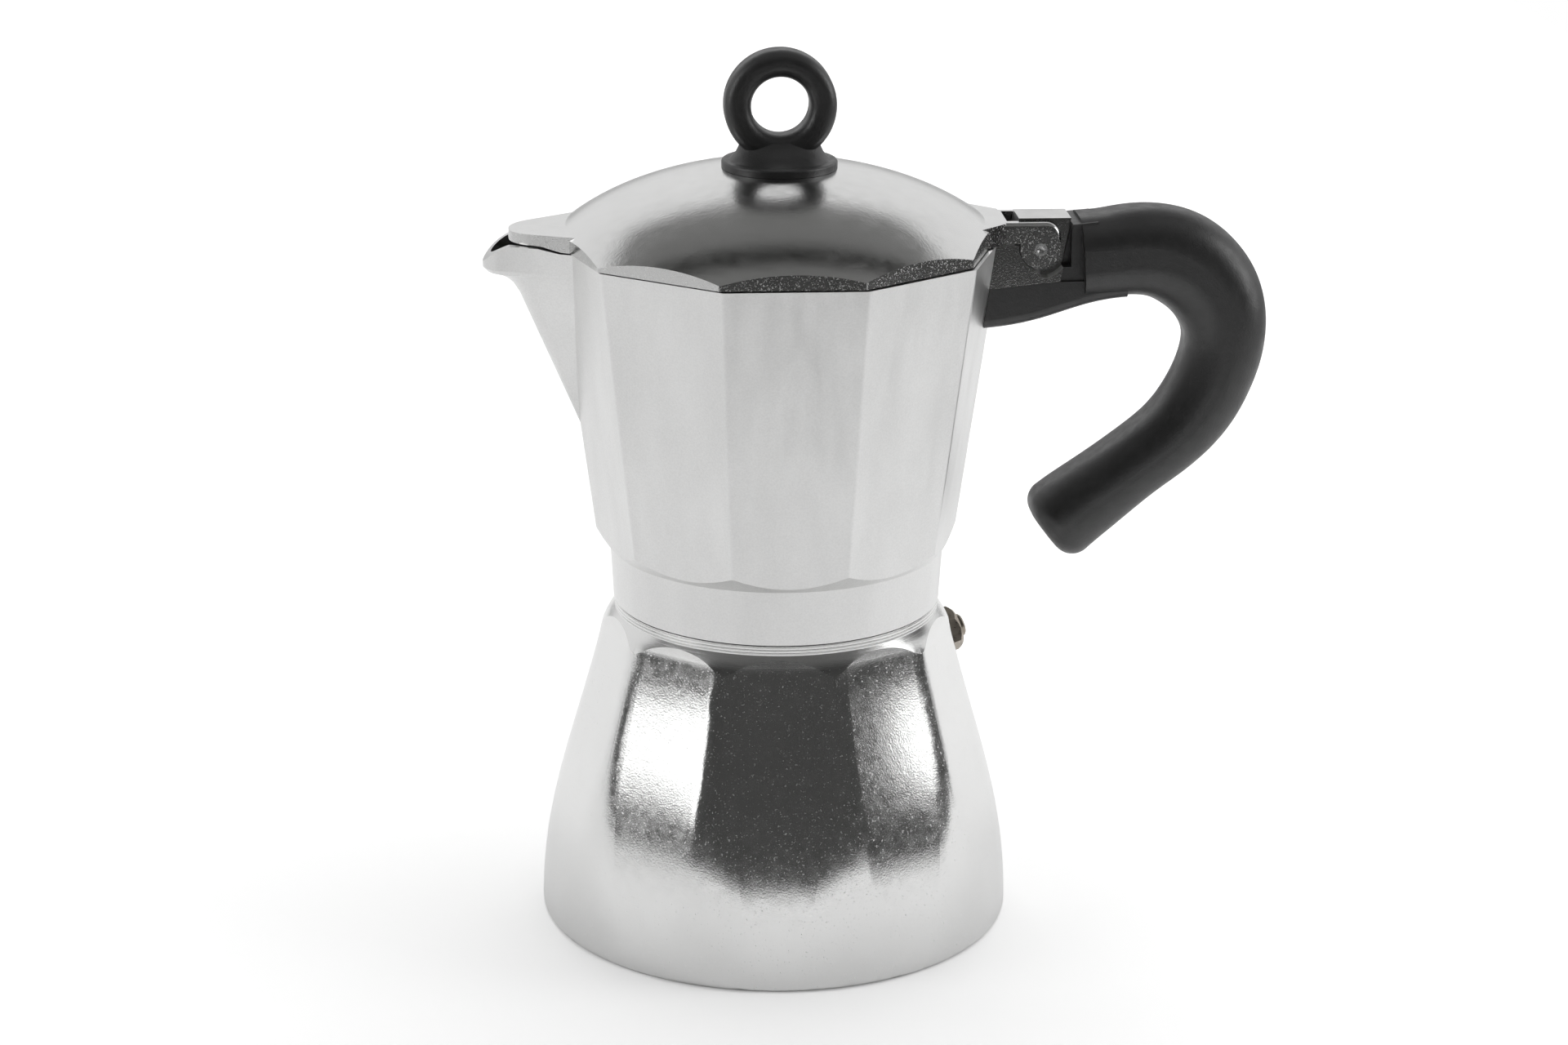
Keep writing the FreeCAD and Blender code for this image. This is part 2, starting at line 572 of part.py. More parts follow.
def collector():
    cone_rise = (FOOT_Z - COLLAR_TOP_Z) / (FOOT_RADIUS - COLLAR_TOP_RADIUS)
    wide = 1.3 * RIM_RADIUS
    cone_top = COLLAR_TOP_Z + cone_rise * (wide - COLLAR_TOP_RADIUS)
    cone = revolve([V(0, 0, COLLAR_TOP_Z), V(COLLAR_TOP_RADIUS, 0, COLLAR_TOP_Z), V(wide, 0, cone_top),
                    V(wide, 0, RIM_Z), V(0, 0, RIM_Z)])
    cup = decagon_cup(0, FACET_SOFT, COLLAR_TOP_Z - 2, RIM_Z).common(cone)
    collar = revolve([V(0, 0, COLLAR_BOTTOM_Z), V(COLLAR_BOTTOM_RADIUS, 0, COLLAR_BOTTOM_Z),
                      V(COLLAR_TOP_RADIUS, 0, COLLAR_TOP_Z), V(0, 0, COLLAR_TOP_Z)])
    body = cup.fuse([collar, spout_shape(0), bracket()])
    hollow = decagon_cup(COLLECTOR_WALL, 0.12, CUP_FLOOR_Z, RIM_Z + 1)
    body = body.cut(hollow).cut(spout_shape(SPOUT_WALL)).cut(lip_trim())
    body = body.fuse(column())
    body = body.cut(Part.makeCylinder(COLLAR_BORE, FLANGE_TOP_Z - COLLAR_BOTTOM_Z, V(0, 0, COLLAR_BOTTOM_Z)))
    body = body.cut(Part.makeCylinder(SEAT_RADIUS, PLATE_TOP_Z - COLLAR_BOTTOM_Z, V(0, 0, COLLAR_BOTTOM_Z)))
    body = body.cut(Part.makeCylinder(GASKET_HOLE - 1, CHAMBER_HEIGHT, V(0, 0, PLATE_TOP_Z)))
    ridge_start = COLLAR_BOTTOM_Z + 0.4 * THREAD_PITCH
    body = body.fuse(helical_ridge(COLLAR_BORE, -THREAD_DEPTH, ridge_start, 0.4))
    body = body.cut(Part.makeCylinder(COLUMN_BORE, COLUMN_TOP_Z - 3 - PLATE_TOP_Z, V(0, 0, PLATE_TOP_Z)))
    body = body.cut(cross_rod(OUTLET_RADIUS, 12, 0, COLUMN_TOP_Z - 6))
    body = body.cut(cross_rod(PIN_RADIUS + 0.02, 20, PIN_X, PIN_Z))
    return body.cut(handle_screw_hole(SCREW_RADIUS)).removeSplitter()


def handle_screw_hole(radius):
    return Part.makeCylinder(radius + 0.02, PIN_Z - 4 - JAW_LOW_Z, V(HANDLE_SCREW_X, 0, JAW_LOW_Z))


def handle_screw():
    head = JAW_LOW_Z + 2.5
    tip = PIN_Z - 4.5
    body = Part.makeCylinder(SCREW_HEAD_RADIUS, SCREW_HEAD_THICK, V(HANDLE_SCREW_X, 0, head))
    body = body.fuse(Part.makeCylinder(SCREW_RADIUS, tip - head, V(HANDLE_SCREW_X, 0, head)))
    for angle in (0, 90):
        slot = Part.makeBox(4.4, 0.9, 1.1, V(-2.2, -0.45, head - 0.1))
        slot.rotate(V(0, 0, 0), UP, angle)
        slot.translate(V(HANDLE_SCREW_X, 0, 0))
        body = body.cut(slot)
    return body.removeSplitter()


def grip_length():
    bends = TOP_BEND_RADIUS * TOP_BEND_ANGLE + LOW_BEND_RADIUS * LOW_BEND_ANGLE
    return TOP_STRAIGHT + bends + GRIP_STRAIGHT


def grip_station(distance):
    spot = V(GRIP_START_X, 0, GRIP_START_Z)
    heading = GRIP_RISE
    runs = [(TOP_STRAIGHT, None), (TOP_BEND_RADIUS * TOP_BEND_ANGLE, TOP_BEND_RADIUS),
            (LOW_BEND_RADIUS * LOW_BEND_ANGLE, LOW_BEND_RADIUS), (GRIP_STRAIGHT, None)]
    for length, radius in runs:
        step = min(max(distance, 0.0), length)
        distance -= length
        if radius is None:
            spot = spot + V(math.cos(heading), 0, math.sin(heading)) * step
            continue
        centre = spot + V(math.sin(heading), 0, -math.cos(heading)) * radius
        heading -= step / radius
        spot = centre + V(-math.sin(heading), 0, math.cos(heading)) * radius
    return spot, V(-math.sin(heading), 0, math.cos(heading))


def grip_half(share):
    halves = (GRIP_HALF_ROOT, GRIP_HALF_BEND, GRIP_HALF_SIDE, GRIP_HALF_ARM, GRIP_HALF_END)
    place = min(share * 4, 3.999)
    k = int(place)
    blend = (1 - math.cos(math.pi * (place - k))) / 2
    return halves[k] + (halves[k + 1] - halves[k]) * blend


def grip_section(share):
    centre, outward = grip_station(grip_length() * share)
    half = grip_half(share)
    corner = half * (GRIP_ROUND_ROOT + (GRIP_ROUND_ARM - GRIP_ROUND_ROOT) * min(1.0, 2 * share))
    side = V(0, 1, 0)
    arcs = []
    for up, across in ((1, 1), (-1, 1), (-1, -1), (1, -1)):
        middle = centre + outward * (up * (half - corner)) + side * (across * (GRIP_HALF_WIDTH - corner))
        ends = [middle + outward * (up * corner), middle + side * (across * corner)]
        bulge = middle + (outward * up + side * across) * (corner * math.sqrt(0.5))
        if up != across:
            ends.reverse()
        arcs.append((ends[0], bulge, ends[1]))
    edges = []
    for k in range(4):
        edges.append(Part.Arc(*arcs[k]).toShape())
        edges.append(Part.makeLine(arcs[k][2], arcs[(k + 1) % 4][0]))
    return Part.Wire(edges)


def grip():
    sections = [grip_section(k / GRIP_SECTIONS) for k in range(GRIP_SECTIONS + 1)]
    return Part.makeLoft(sections, True, False)


def round_grip_end(body):
    end, outward = grip_station(grip_length())
    along = outward.cross(V(0, 1, 0))
    end_edges = [e for e in body.Edges if all(abs((v.Point - end).dot(along)) < 0.05 for v in e.Vertexes)]
    return body.makeFillet(GRIP_END_ROUND, end_edges)


def handle_jaw():
    fall = (BRACKET_LOW_END_Z - BRACKET_LOW_WALL_Z) / (BRACKET_LOW_END_X - 0.86 * RIM_RADIUS)
    top_z = BRACKET_LOW_WALL_Z - SEAT_GAP + fall * (JAW_WALL_X - 0.86 * RIM_RADIUS)
    low_x = JAW_WALL_X - TAPER * (top_z - JAW_LOW_Z)
    reach = GRIP_START_X + JAW_BLEND
    climb = math.tan(GRIP_RISE)
    under_z = GRIP_START_Z + JAW_BLEND * climb - grip_half(JAW_BLEND / grip_length())
    start = V(low_x, -JAW_HALF_WIDTH, JAW_LOW_Z)
    end = V(reach, -JAW_HALF_WIDTH, under_z)
    span = reach - low_x
    belly = Part.BezierCurve()
    belly.setPoles([start, start + V(0.5 * span, 0, 0.15 * (under_z - JAW_LOW_Z)),
                    end - V(0.4 * span, 0, 0.4 * span * climb), end])
    corner_x = BRACKET_LOW_END_X + SEAT_GAP
    back = [end, V(reach, -JAW_HALF_WIDTH, BRACKET_LOW_END_Z),
            V(corner_x, -JAW_HALF_WIDTH, BRACKET_LOW_END_Z - SEAT_GAP),
            V(JAW_WALL_X, -JAW_HALF_WIDTH, top_z), start]
    outline = Part.Wire([belly.toShape()] + Part.makePolygon(back).Edges)
    body = Part.Face(outline).extrude(V(0, 2 * JAW_HALF_WIDTH, 0))
    low_edges = [e for e in body.Edges
                 if e.Curve.TypeId in ("Part::GeomBezierCurve", "Part::GeomBSplineCurve")]
    return body.makeFillet(JAW_ROUND, low_edges)


def handle():
    low_x = BRACKET_LOW_END_X + SEAT_GAP
    reach = GRIP_START_X + 3
    top_z = BLOCK_TOP_Z - TONGUE_TOP_DROP
    tongue = [(low_x, BRACKET_LOW_END_Z - SEAT_GAP), (BRACKET_TOP_END_X + SEAT_GAP, top_z),
              (reach, top_z + 0.5),
              (reach, BRACKET_LOW_END_Z - SEAT_GAP)]
    recess = box(low_x - 1, EAR_SWING_X, TONGUE_HALF_WIDTH + 1, PIN_Z - 4, BLOCK_TOP_Z + 1)
    recess = recess.cut(box(low_x - 2, EAR_SWING_X + 1, BLOCK_HALF_WIDTH, 0, 2 * RIM_Z))
    body = grip().fuse([xz_prism(tongue, TONGUE_HALF_WIDTH).cut(recess), handle_jaw()])
    body = body.cut(handle_screw_hole(SCREW_RADIUS + RUN_FIT))
    head = Part.makeCylinder(SCREW_HEAD_RADIUS + 0.2, 2.5 + SCREW_HEAD_THICK, V(HANDLE_SCREW_X, 0, JAW_LOW_Z))
    body = body.cut(head).cut(decagon_cup(-SEAT_GAP, FACET_SOFT, CUP_FLOOR_Z, RIM_Z + SEAT_GAP))
    return round_grip_end(body.removeSplitter())


def hinge_pin():
    body = cross_rod(PIN_RADIUS, HINGE_HALF_WIDTH, PIN_X, PIN_Z)
    for side in (-1, 1):
        dimple = Part.makeCone(0.8, 0.0, 0.6, V(PIN_X, side * HINGE_HALF_WIDTH, PIN_Z), V(0, -side, 0))
        body = body.cut(dimple)
    return body


def lid_tongue():
    root_x = -0.8 * RIM_RADIUS
    plan = beak(TONGUE_TIP_X, TONGUE_TIP_RADIUS, SPOUT_ROOT_X, SPOUT_HALF_WIDTH, root_x, LID_BOTTOM_Z)
    body = Part.Face(plan).extrude(V(0, 0, 12))
    low_z = LID_BOTTOM_Z + SPOUT_RISE
    side = [(root_x, LID_BOTTOM_Z), (SPOUT_ROOT_X - 2.2, LID_BOTTOM_Z), (SPOUT_ROOT_X - 6.7, low_z),
            (TONGUE_TIP_X - 1, low_z)]
    side += [(TONGUE_TIP_X - 1, TONGUE_TOP_Z), (root_x, TONGUE_TOP_Z + TONGUE_RISE)]
    return body.common(xz_prism(side, 30))


def lid_arm():
    start_x = 0.8 * RIM_RADIUS
    half = HINGE_HALF_WIDTH
    side = [(start_x, LID_BOTTOM_Z), (EAR_END_X, LID_BOTTOM_Z), (EAR_END_X, EAR_TOP_Z), (start_x, EAR_TOP_Z)]
    body = xz_prism(side, half)
    corner = [e for e in body.Edges
              if e.CenterOfMass.x > EAR_END_X - 0.1 and e.CenterOfMass.z > EAR_TOP_Z - 0.1]
    body = body.makeFillet(EAR_CORNER, corner)
    outer = [e for e in body.Edges if e.BoundBox.YLength < 0.1 and e.CenterOfMass.z > LID_BOTTOM_Z + 0.1
             and e.CenterOfMass.x > start_x + 0.1]
    body = body.makeFillet(EAR_EDGE, outer)
    root_half = half + ARM_FLARE * (ARM_FLARE_X - start_x)
    corners = [V(start_x, -root_half, LID_BOTTOM_Z), V(ARM_FLARE_X, -half, LID_BOTTOM_Z),
               V(ARM_FLARE_X, half, LID_BOTTOM_Z), V(start_x, root_half, LID_BOTTOM_Z)]
    flare = Part.Face(Part.makePolygon(corners + corners[:1])).extrude(V(0, 0, EAR_TOP_Z - LID_BOTTOM_Z))
    body = body.fuse([flare, cross_rod(LUG_RADIUS, half, PIN_X, LUG_CENTRE_Z)])
    gap = BLOCK_HALF_WIDTH + SLIP_FIT
    body = body.cut(box(SLOT_START_X, EAR_END_X + 1, gap, 0, 2 * RIM_Z))
    body = body.cut(box(start_x - 1, SLOT_START_X + 1, gap, 0, EAR_TOP_Z - EAR_PLATE))
    return body.cut(cross_rod(PIN_RADIUS + RUN_FIT, 20, PIN_X, PIN_Z))


def lid():
    outline = soft_decagon(LID_RADIUS, FACET_SOFT, LID_BOTTOM_Z)
    outline.translate(V(LID_SHIFT, 0, 0))
    prism = Part.Face(outline).extrude(V(0, 0, DOME_HEIGHT))
    dome = half_ellipsoid(DOME_HALF_WIDTH, DOME_HEIGHT, DOME_CENTRE_Z, DOME_SHIFT).common(prism)
    inner = half_ellipsoid(DOME_HALF_WIDTH - LID_WALL, DOME_HEIGHT - LID_WALL, DOME_CENTRE_Z, DOME_SHIFT)
    inset = soft_decagon(LID_RADIUS - LID_WALL / math.cos(HALF_SIDE), 0.1, LID_BOTTOM_Z - 1)
    inset.translate(V(LID_SHIFT, 0, 0))
    hollow = inner.common(Part.Face(inset).extrude(V(0, 0, DOME_HEIGHT)))
    pocket = box(0.8 * RIM_RADIUS, SLOT_START_X + 1, BLOCK_HALF_WIDTH + SLIP_FIT, 0, EAR_TOP_Z - EAR_PLATE)
    body = dome.cut(pocket).fuse([lid_tongue(), lid_arm()]).cut(hollow)
    return body.cut(Part.makeCylinder(SCREW_RADIUS + 0.1, 60, V(0, 0, RIM_Z))).removeSplitter()


def knob_ring():
    rod = cross_rod(RING_RADIUS + RING_HALF_THICK, RING_HALF_DEPTH, 0, RING_CENTRE_Z)
    body = rod.cut(cross_rod(RING_RADIUS - RING_HALF_THICK, RING_HALF_DEPTH + 1, 0, RING_CENTRE_Z))
    rims = [e for e in body.Edges if e.Curve.TypeId == "Part::GeomCircle"]
    return body.makeFillet(RING_ROUND, rims)


def knob():
    wall_top = KNOB_BOTTOM_Z + FLANGE_WALL
    flange = Part.makeCylinder(FLANGE_RADIUS, FLANGE_WALL, V(0, 0, KNOB_BOTTOM_Z))
    rim_edge = [e for e in flange.Edges if abs(e.BoundBox.ZMin - wall_top) < 0.01]
    flange = flange.makeFillet(0.5, rim_edge)
    low = Part.Wire(Part.Circle(V(0, 0, wall_top - 0.3), UP, FLANGE_RADIUS - 0.9).toShape())
    middle = Part.Wire(Part.Ellipse(V(0, 0, wall_top + 1.4), KNOB_NECK_HALF + 0.6,
                                    RING_HALF_DEPTH + 2.6).toShape())
    high = Part.Wire(Part.Ellipse(V(0, 0, KNOB_NECK_Z), KNOB_NECK_HALF - 0.6, RING_HALF_DEPTH).toShape())
    foot = Part.makeLoft([low, middle, high], True, False)
    hole = cross_rod(RING_RADIUS - 0.6 * RING_HALF_THICK, FLANGE_RADIUS + 1, 0, RING_CENTRE_Z)
    dome = half_ellipsoid(DOME_HALF_WIDTH + 0.05, DOME_HEIGHT + 0.05, DOME_CENTRE_Z, DOME_SHIFT)
    bore = Part.makeCylinder(SCREW_RADIUS + 0.02, RING_CENTRE_Z - RING_RADIUS - 1.2 - RIM_Z, V(0, 0, RIM_Z))
    body = flange.fuse(foot).cut(hole).cut(dome).fuse(knob_ring())
    return body.cut(bore).removeSplitter()


def knob_screw():
    seat = DOME_CENTRE_Z + DOME_HEIGHT - LID_WALL - 0.3
    tip = RING_CENTRE_Z - RING_RADIUS - 1.6
    body = Part.makeCylinder(SCREW_HEAD_RADIUS, SCREW_HEAD_THICK, V(0, 0, seat - SCREW_HEAD_THICK))
    body = body.fuse(Part.makeCylinder(SCREW_RADIUS, tip - seat + 1, V(0, 0, seat - 1)))
    slot = Part.makeBox(2 * SCREW_HEAD_RADIUS + 1, 1.0, 1.0,
                        V(-SCREW_HEAD_RADIUS - 0.5, -0.5, seat - SCREW_HEAD_THICK - 0.1))
    return body.cut(slot).removeSplitter()


def main():
    for build in (boiler, funnel_basket, funnel_tube, funnel_filter, gasket, filter_plate, collector, handle,
                  handle_screw, hinge_pin, lid, knob_screw):
        export(build(), build.__name__)
    export(knob(), "lid_knob")
    for build in (valve_body, valve_cap, valve_pin, valve_spring):
        export(valve_placed(build()), build.__name__)


main()
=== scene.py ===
"""Looks and stage for a moka pot built around its CAD part."""

import json
import math

import bpy
from mathutils import Matrix, Vector

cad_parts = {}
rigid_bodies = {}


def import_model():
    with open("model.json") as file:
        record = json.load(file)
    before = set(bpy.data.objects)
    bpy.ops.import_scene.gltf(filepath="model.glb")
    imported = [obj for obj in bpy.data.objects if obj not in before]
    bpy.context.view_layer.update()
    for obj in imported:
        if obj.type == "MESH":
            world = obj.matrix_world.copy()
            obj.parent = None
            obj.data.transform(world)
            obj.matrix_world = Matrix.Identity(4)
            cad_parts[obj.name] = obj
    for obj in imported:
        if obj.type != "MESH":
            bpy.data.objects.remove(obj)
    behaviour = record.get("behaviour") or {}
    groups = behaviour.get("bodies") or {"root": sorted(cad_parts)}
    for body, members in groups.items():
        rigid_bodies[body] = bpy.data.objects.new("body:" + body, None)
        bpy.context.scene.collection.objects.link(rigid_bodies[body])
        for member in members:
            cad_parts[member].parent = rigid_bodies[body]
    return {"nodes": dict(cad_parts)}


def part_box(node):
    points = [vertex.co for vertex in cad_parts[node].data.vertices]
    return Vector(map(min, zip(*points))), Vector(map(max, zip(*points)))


bl_info = {
    "name": "Moka pot",
    "version": (1, 0, 0),
    "blender": (4, 5, 0),
    "location": "View3D > Sidebar > Moka pot",
    "description": "Dresses the moka pot's castings, mouldings and fittings and sets its stage",
    "category": "Object",
}

for leftover in list(bpy.data.objects):
    bpy.data.objects.remove(leftover)
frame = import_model()
bpy.context.view_layer.update()
POT = frame["nodes"]
COLLAR_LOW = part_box("collector")[0].z

MICRON = 0.000001

# Heights, reach and facets on the castings
SHOULDER_START = COLLAR_LOW - 0.0062
SHOULDER_FULL = COLLAR_LOW - 0.0046
COLLAR_FULL = COLLAR_LOW + 0.0124
COLLAR_END = COLLAR_LOW + 0.0134
BRACKET_START = 0.035
FACET_COUNT = 10
FACET_TURN = math.radians(14.5)
FACET_CROWN = 0.0014

# Squares of a face's facing: where it counts as a side, and where it stops being the lid's rim
SIDE_FACING = 0.9
RIM_FACING_FULL = 0.06
RIM_FACING_END = 0.12

# Grain of the finishes
GRAIN_LOW = 0.3
GRAIN_HIGH = 0.7
LATHE_LINES = 7000
BOILER_SPECKS = (0.6, 0.74)
# Speck edges on the bracket and the rim also set how much of their painted shade shows between the specks.
BRACKET_SPECKS = (0.66, 0.78)
RIM_SPECKS = (0.57, 0.69)

# Roughness and sheen of single features
SHOULDER_GLOSS = 0.2
COLLAR_GLOSS = 0.3
BOILER_SPECK_GLOSS = 0.5
SANDED_GLOSS = 0.13
SANDED_SPECK_GLOSS = 0.6
MOULDING_SHEEN = 0.9

# Fixed sizes and shares of the stage
SENSOR_WIDTH = 36
CLIP_START = 0.01
FLOOR_BACK = 1.4
WALL_LOW = -0.4
WALL_DEGREES = range(-105, 106, 15)
WALL_ROUGHNESS = 0.9
CEILING_SIDE_SHARE = 0.1
CEILING_REAR_SHARE = 0.45
HORIZON_LOW = 0.02
HORIZON_HIGH = 0.08
GROUND_SHARE = 0.5
LAMP_DISTANCE = 1.3
LAMP_HEIGHT = 1.0
RIGHT_LAMP_SHARE = 1.3
FILL_PLACE = (0.25, 0.4)
FILL_DROP = 0.05
FILL_SIZE = (1.6, 1.8)


class PotFinishes(bpy.types.PropertyGroup):
    """Colours and gloss of the pot's metals, rubber and mouldings."""

    polished_colour: bpy.props.FloatVectorProperty(
        name="Polished aluminium", description="Colour of the polished boiler and lid",
        subtype="COLOR", size=3, min=0, max=1, default=(0.86, 0.86, 0.855))
    satin_colour: bpy.props.FloatVectorProperty(
        name="Satin aluminium", description="Colour of the satin collector",
        subtype="COLOR", size=3, min=0, max=1, default=(0.84, 0.84, 0.835))
    moulding_colour: bpy.props.FloatVectorProperty(
        name="Black moulding", description="Colour of the handle and the knob",
        subtype="COLOR", size=3, min=0, max=1, default=(0.023, 0.023, 0.0235))
    valve_colour: bpy.props.FloatVectorProperty(
        name="Valve metal", description="Colour of the washed brass of the safety valve",
        subtype="COLOR", size=3, min=0, max=1, default=(0.46, 0.41, 0.35))
    sheet_colour: bpy.props.FloatVectorProperty(
        name="Pressed sheet", description="Colour of the funnel and the filter plates",
        subtype="COLOR", size=3, min=0, max=1, default=(0.78, 0.78, 0.77))
    steel_colour: bpy.props.FloatVectorProperty(
        name="Steel", description="Colour of the pin, the screws and the spring",
        subtype="COLOR", size=3, min=0, max=1, default=(0.60, 0.60, 0.60))
    rubber_colour: bpy.props.FloatVectorProperty(
        name="Seal rubber", description="Colour of the sealing ring",
        subtype="COLOR", size=3, min=0, max=1, default=(0.62, 0.60, 0.56))
    boiler_gloss: bpy.props.FloatProperty(
        name="Boiler roughness", description="Roughness of the polished facets",
        subtype="FACTOR", min=0, max=1, default=0.11)
    lid_gloss: bpy.props.FloatProperty(
        name="Lid roughness", description="Roughness of the lid's dome",
        subtype="FACTOR", min=0, max=1, default=0.22)
    satin_gloss: bpy.props.FloatProperty(
        name="Collector roughness", description="Roughness of the satin facets",
        subtype="FACTOR", min=0, max=1, default=0.34)
    moulding_gloss: bpy.props.FloatProperty(
        name="Moulding roughness", description="Roughness of the black mouldings",
        subtype="FACTOR", min=0, max=1, default=0.4)


class PotStage(bpy.types.PropertyGroup):
    """Camera, floor and light around the pot."""

    camera_place: bpy.props.FloatVectorProperty(
        name="Camera place", description="Where the camera stands",
        subtype="TRANSLATION", unit="LENGTH", size=3, default=(-0.0594, -0.7332, 0.3283))
    camera_turn: bpy.props.FloatProperty(
        name="Camera turn", description="Turn of the camera about the upright axis",
        subtype="ANGLE", unit="ROTATION", default=math.radians(-4.76))
    camera_dip: bpy.props.FloatProperty(
        name="Camera dip", description="How far the camera looks down",
        subtype="ANGLE", unit="ROTATION", default=math.radians(17.964))
    camera_roll: bpy.props.FloatProperty(
        name="Camera roll", description="Roll of the camera about its own axis",
        subtype="ANGLE", unit="ROTATION", default=math.radians(0.495))
    lens: bpy.props.FloatProperty(
        name="Lens", description="Focal length on a 36 mm sensor",
        subtype="DISTANCE_CAMERA", min=1, default=80)
    floor_left: bpy.props.FloatProperty(
        name="Floor left", description="How far the pale floor goes to the left",
        subtype="DISTANCE", unit="LENGTH", min=0.1, default=0.9)
    floor_right: bpy.props.FloatProperty(
        name="Floor right", description="How far the pale floor goes to the right",
        subtype="DISTANCE", unit="LENGTH", min=0.1, default=0.52)
    floor_front: bpy.props.FloatProperty(
        name="Floor front", description="How far the pale floor goes towards the camera",
        subtype="DISTANCE", unit="LENGTH", min=0.1, default=0.375)
    floor_lip: bpy.props.FloatProperty(
        name="Floor lip", description="Height of the pale floor's turned-up front and left edges",
        subtype="DISTANCE", unit="LENGTH", min=0, default=0.025)
    floor_colour: bpy.props.FloatVectorProperty(
        name="Floor colour", description="Colour of the pale floor",
        subtype="COLOR", size=3, min=0, max=1, default=(0.9, 0.9, 0.9))
    floor_glow: bpy.props.FloatProperty(
        name="Floor glow", description="White that the floor adds to the camera",
        min=0, max=1, default=0.27)
    floor_shine: bpy.props.FloatProperty(
        name="Floor shine", description="White that the floor adds in the metal",
        min=0, max=1, default=0.02)
    room_height: bpy.props.FloatProperty(
        name="Room height", description="Height of the dim ceiling",
        subtype="DISTANCE", unit="LENGTH", min=0.5, default=1.4)
    room_reach: bpy.props.FloatProperty(
        name="Room reach", description="How far off the dim wall stands",
        subtype="DISTANCE", unit="LENGTH", min=0.5, default=1.6)
    room_back: bpy.props.FloatProperty(
        name="Room back", description="How far the dim ceiling goes behind the pot",
        subtype="DISTANCE", unit="LENGTH", min=0, default=1.35)
    sky_level: bpy.props.FloatProperty(
        name="Room white", description="White behind the pot as the metal shows it",
        min=0, max=1, default=0.78)
    wall_colour: bpy.props.FloatVectorProperty(
        name="Wall colour", description="Colour of the dim wall in front of the pot",
        subtype="COLOR", size=3, min=0, max=1, default=(0.09, 0.09, 0.088))
    ceiling_colour: bpy.props.FloatVectorProperty(
        name="Ceiling colour", description="Colour of the dim ceiling above the pot",
        subtype="COLOR", size=3, min=0, max=1, default=(0.29, 0.29, 0.285))
    lamp_power: bpy.props.FloatProperty(
        name="Lamp power", description="Power of the left side lamp",
        unit="POWER", min=0, default=4.2)
    lamp_width: bpy.props.FloatProperty(
        name="Lamp width", description="Width of each side lamp",
        subtype="DISTANCE", unit="LENGTH", min=0.1, default=0.7)
    left_low: bpy.props.FloatProperty(
        name="Left lamp low edge", description="Height of the left lamp's lower edge",
        subtype="DISTANCE", unit="LENGTH", min=0, default=0.127)
    right_low: bpy.props.FloatProperty(
        name="Right lamp low edge", description="Height of the right lamp's lower edge",
        subtype="DISTANCE", unit="LENGTH", min=0, default=0.106)
    left_turn: bpy.props.FloatProperty(
        name="Left lamp", description="Side on which the left lamp stands",
        subtype="ANGLE", unit="ROTATION", default=math.radians(-76))
    right_turn: bpy.props.FloatProperty(
        name="Right lamp", description="Side on which the right lamp stands",
        subtype="ANGLE", unit="ROTATION", default=math.radians(83.4))
    fill_power: bpy.props.FloatProperty(
        name="Fill power", description="Power of the soft fill above the pot, which the metal doesn't show",
        unit="POWER", min=0, default=16.5)


class Graph:
    """A node tree under construction."""

    def __init__(self, tree):
        self.tree = tree

    def add(self, kind, **values):
        """New node with the given settings."""
        node = self.tree.nodes.new(kind)
        for key, value in values.items():
            setattr(node, key, value)
        return node

    def feed(self, source, socket):
        """Sets a socket to a number, or links another node's output to it."""
        if isinstance(source, (int, float)):
            socket.default_value = source
        else:
            self.tree.links.new(source, socket)

    def maths(self, how, *values):
        """Result of a calculation with numbers or other nodes' outputs."""
        node = self.add("ShaderNodeMath", operation=how)
        for socket, value in zip(node.inputs, values):
            self.feed(value, socket)
        return node.outputs["Value"]

    def spread(self, value, low, high, out_low=0.0, out_high=1.0):
        """Value between low and high mapped to the out range."""
        span = self.add("ShaderNodeMapRange")
        for key, number in (("From Min", low), ("From Max", high), ("To Min", out_low), ("To Max", out_high)):
            span.inputs[key].default_value = number
        self.feed(value, span.inputs["Value"])
        return span.outputs["Result"]

    def split(self, vector):
        """X, Y and Z of a vector."""
        parts = self.add("ShaderNodeSeparateXYZ")
        self.feed(vector, parts.inputs["Vector"])
        return parts.outputs


